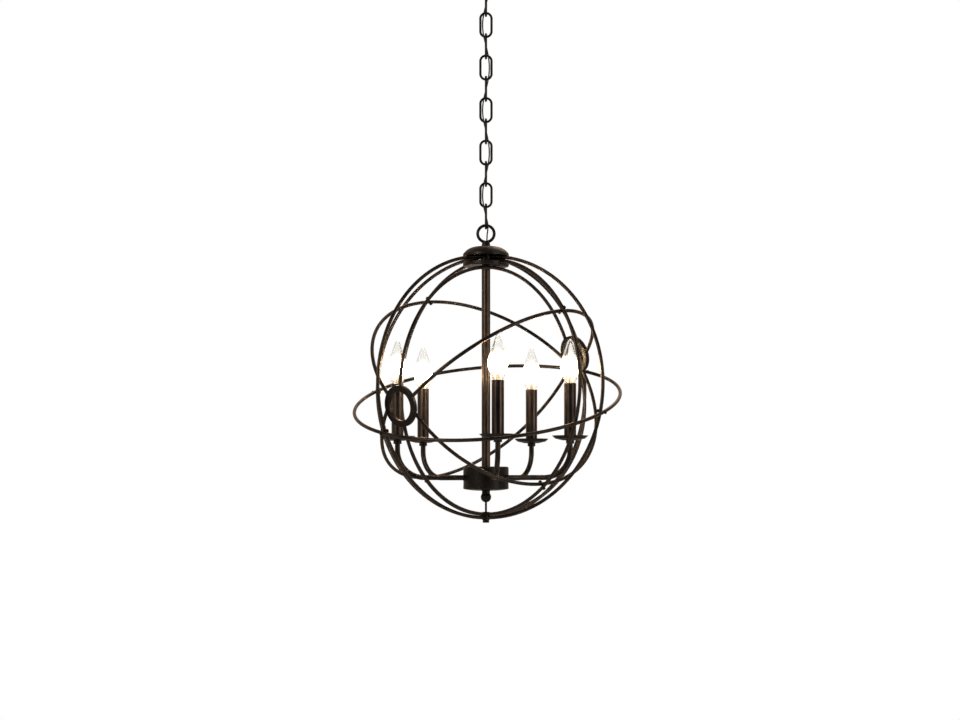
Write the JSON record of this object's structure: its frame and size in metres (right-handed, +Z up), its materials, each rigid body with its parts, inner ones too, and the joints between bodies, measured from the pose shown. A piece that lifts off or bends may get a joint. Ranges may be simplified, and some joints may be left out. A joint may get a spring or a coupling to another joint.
{
  "type": "orb chandelier",
  "caption": "Hanging lamp: an open globe of bent metal rods round candle lights on curved arms, on a chain under a ceiling canopy.",
  "frame": {"origin": "on the ceiling plane, at the centre of the two screw slots of the crossbar, on the lamp's axis", "axes": "+Z up, -Y the front that the picture shows, +X to the right in the picture"},
  "size_m": [0.4978, 0.4742, 1.0431],
  "materials": {
    "bronze": "satin dark bronze",
    "chain_bronze": "satin dark bronze",
    "sleeve_bronze": "satin dark bronze",
    "plated_steel": "zinc plated",
    "socket_black": "matt",
    "cord_jacket": "matt",
    "bulb_glass": "clear, lit warm white"
  },
  "bodies": {
    "ceiling": {"crossbar": "plated_steel", "ceiling_canopy": "bronze", "canopy_nipple": "plated_steel", "canopy_loop": "bronze", "supply_cord": "cord_jacket"},
    "link_01": {"chain_link_01": "chain_bronze"},
    "link_02": {"chain_link_02": "chain_bronze"},
    "link_03": {"chain_link_03": "chain_bronze"},
    "link_04": {"chain_link_04": "chain_bronze"},
    "link_05": {"chain_link_05": "chain_bronze"},
    "link_06": {"chain_link_06": "chain_bronze"},
    "link_07": {"chain_link_07": "chain_bronze"},
    "link_08": {"chain_link_08": "chain_bronze"},
    "link_09": {"chain_link_09": "chain_bronze"},
    "link_10": {"chain_link_10": "chain_bronze"},
    "link_11": {"chain_link_11": "chain_bronze"},
    "orb": {"fixture_loop": "bronze", "top_dome": "bronze", "upper_rod_boss": "bronze", "lower_disc": "bronze", "stem_tube": "bronze", "lamp_pipe": "plated_steel", "hub_drum": "bronze", "hub_cover": "bronze", "finial_ball": "bronze", "tie_rod": "bronze", "lower_rod_boss": "bronze", "cap_nut": "bronze", "meridian_ring_left": "bronze", "meridian_ring_right": "bronze", "meridian_ring_inner": "bronze", "tilted_hoop_one": "bronze", "tilted_hoop_two": "bronze", "side_hoop": "bronze", "side_ring_front": "bronze", "side_ring_back": "bronze", "outer_band": "bronze", "crossing_screws": "bronze", "crossing_nuts": "bronze", "arm_1": "bronze", "drip_pan_1": "bronze", "candle_sleeve_1": "sleeve_bronze", "arm_2": "bronze", "drip_pan_2": "bronze", "candle_sleeve_2": "sleeve_bronze", "arm_3": "bronze", "drip_pan_3": "bronze", "candle_sleeve_3": "sleeve_bronze", "arm_4": "bronze", "drip_pan_4": "bronze", "candle_sleeve_4": "sleeve_bronze", "arm_5": "bronze", "drip_pan_5": "bronze", "candle_sleeve_5": "sleeve_bronze", "lamp_sockets": "socket_black"},
    "bulb_1": {"bulb_1": "bulb_glass"},
    "bulb_2": {"bulb_2": "bulb_glass"},
    "bulb_3": {"bulb_3": "bulb_glass"},
    "bulb_4": {"bulb_4": "bulb_glass"},
    "bulb_5": {"bulb_5": "bulb_glass"}
  },
  "joints": [
    {"name": "link_01_swing", "type": "hinge", "parent": "ceiling", "child": "link_01", "pos_m": [0, 0, -0.0673], "axis": [1, 0, 0], "range_deg": [-12, 12], "deforming": ["supply_cord"]},
    {"name": "link_02_swing", "type": "hinge", "parent": "link_01", "child": "link_02", "pos_m": [0, 0, -0.10605], "axis": [0, 1, 0], "range_deg": [-12, 12], "deforming": ["supply_cord"]},
    {"name": "link_03_swing", "type": "hinge", "parent": "link_02", "child": "link_03", "pos_m": [0, 0, -0.14535], "axis": [1, 0, 0], "range_deg": [-12, 12], "deforming": ["supply_cord"]},
    {"name": "link_04_swing", "type": "hinge", "parent": "link_03", "child": "link_04", "pos_m": [0, 0, -0.18465], "axis": [0, 1, 0], "range_deg": [-12, 12], "deforming": ["supply_cord"]},
    {"name": "link_05_swing", "type": "hinge", "parent": "link_04", "child": "link_05", "pos_m": [0, 0, -0.22395], "axis": [1, 0, 0], "range_deg": [-12, 12], "deforming": ["supply_cord"]},
    {"name": "link_06_swing", "type": "hinge", "parent": "link_05", "child": "link_06", "pos_m": [0, 0, -0.26325], "axis": [0, 1, 0], "range_deg": [-12, 12], "deforming": ["supply_cord"]},
    {"name": "link_07_swing", "type": "hinge", "parent": "link_06", "child": "link_07", "pos_m": [0, 0, -0.30255], "axis": [1, 0, 0], "range_deg": [-12, 12], "deforming": ["supply_cord"]},
    {"name": "link_08_swing", "type": "hinge", "parent": "link_07", "child": "link_08", "pos_m": [0, 0, -0.34185], "axis": [0, 1, 0], "range_deg": [-12, 12], "deforming": ["supply_cord"]},
    {"name": "link_09_swing", "type": "hinge", "parent": "link_08", "child": "link_09", "pos_m": [0, 0, -0.38115], "axis": [1, 0, 0], "range_deg": [-12, 12], "deforming": ["supply_cord"]},
    {"name": "link_10_swing", "type": "hinge", "parent": "link_09", "child": "link_10", "pos_m": [0, 0, -0.42045], "axis": [0, 1, 0], "range_deg": [-12, 12], "deforming": ["supply_cord"]},
    {"name": "link_11_swing", "type": "hinge", "parent": "link_10", "child": "link_11", "pos_m": [0, 0, -0.45975], "axis": [1, 0, 0], "range_deg": [-12, 12], "deforming": ["supply_cord"]},
    {"name": "orb_swing", "type": "hinge", "parent": "link_11", "child": "orb", "pos_m": [0, 0, -0.49905], "axis": [0, 1, 0], "range_deg": [-12, 12], "deforming": ["supply_cord"]},
    {"name": "bulb_1_unscrew", "type": "slide", "parent": "orb", "child": "bulb_1", "axis": [0, 0, 1], "range_m": [0, 0.03]},
    {"name": "bulb_2_unscrew", "type": "slide", "parent": "orb", "child": "bulb_2", "axis": [0, 0, 1], "range_m": [0, 0.03]},
    {"name": "bulb_3_unscrew", "type": "slide", "parent": "orb", "child": "bulb_3", "axis": [0, 0, 1], "range_m": [0, 0.03]},
    {"name": "bulb_4_unscrew", "type": "slide", "parent": "orb", "child": "bulb_4", "axis": [0, 0, 1], "range_m": [0, 0.03]},
    {"name": "bulb_5_unscrew", "type": "slide", "parent": "orb", "child": "bulb_5", "axis": [0, 0, 1], "range_m": [0, 0.03]}
  ]
}
